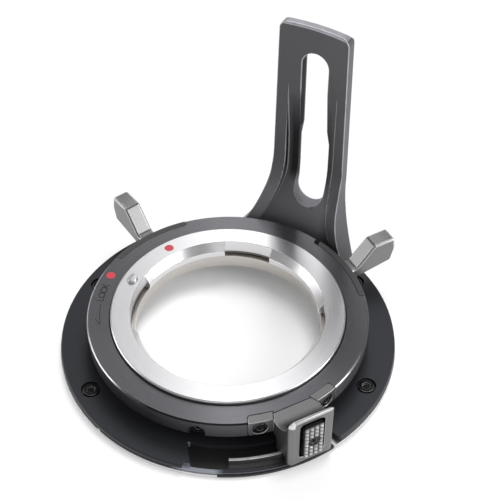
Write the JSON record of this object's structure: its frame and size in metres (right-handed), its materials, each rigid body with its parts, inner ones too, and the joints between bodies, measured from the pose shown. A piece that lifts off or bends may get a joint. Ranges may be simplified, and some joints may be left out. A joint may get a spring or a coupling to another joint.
{
  "type": "lens mount unit",
  "caption": "Locking lens mount: a round flange with a steel bayonet, a turning lock ring with wing levers and a release latch, and an upright slotted support arm.",
  "frame": {"origin": "on the lens axis, in the plane of the rear seat (underside of the rear plate)", "axes": "+Z along the lens axis towards the lens, +Y towards the support arm, +X to its right seen from the latch side"},
  "size_m": [0.0966, 0.0986, 0.0761],
  "materials": {
    "silver_plate": "satin",
    "black_anodised": "satin",
    "gunmetal": "satin",
    "bright_steel": "brushed",
    "warm_steel": "brushed",
    "arm_grey": "satin",
    "wing_grey": "satin",
    "housing_grey": "satin",
    "strike_grey": "satin",
    "screw_black": "satin",
    "screw_steel": "satin",
    "spring_steel": "satin",
    "index_red": "gloss"
  },
  "bodies": {
    "mount_base": {"rear_mount_plate": "silver_plate", "base_flange": "black_anodised", "flange_screws": "screw_black", "latch_strike": "strike_grey", "strike_screws": "screw_steel", "front_bayonet": "bright_steel", "bayonet_screws": "screw_steel", "bayonet_index_dot": "index_red", "bayonet_springs": "spring_steel", "lock_pin_spring": "spring_steel", "support_arm": "arm_grey", "arm_screws": "screw_steel"},
    "lock_ring_unit": {"clamp_ring": "warm_steel", "lock_ring": "gunmetal", "drive_screws": "screw_black", "ring_index_dot": "index_red", "left_wing_lever": "wing_grey", "right_wing_lever": "wing_grey", "wing_lever_screws": "screw_steel", "release_housing": "housing_grey", "release_housing_screws": "screw_black", "plunger_spring": "spring_steel"},
    "release_button_unit": {"release_button": "housing_grey", "button_screw": "screw_black", "release_plunger": "spring_steel"},
    "lens_pin": {"lens_lock_pin": "bright_steel"}
  },
  "joints": [
    {"name": "lock_turn", "type": "hinge", "parent": "mount_base", "child": "lock_ring_unit", "pos_m": [0, 0, 0.0089], "axis": [0, 0, 1], "range_deg": [-30, 0]},
    {"name": "button_press", "type": "slide", "parent": "lock_ring_unit", "child": "release_button_unit", "axis": [-0.8339, 0.5519, 0], "range_m": [0, 0.0008], "stiffness_N_per_m": 1500, "springref_m": -0.001},
    {"name": "pin_sink", "type": "slide", "parent": "mount_base", "child": "lens_pin", "axis": [0, 0, -1], "range_m": [0, 0.001], "stiffness_N_per_m": 800, "springref_m": -0.001, "deforming": ["lock_pin_spring"]}
  ]
}
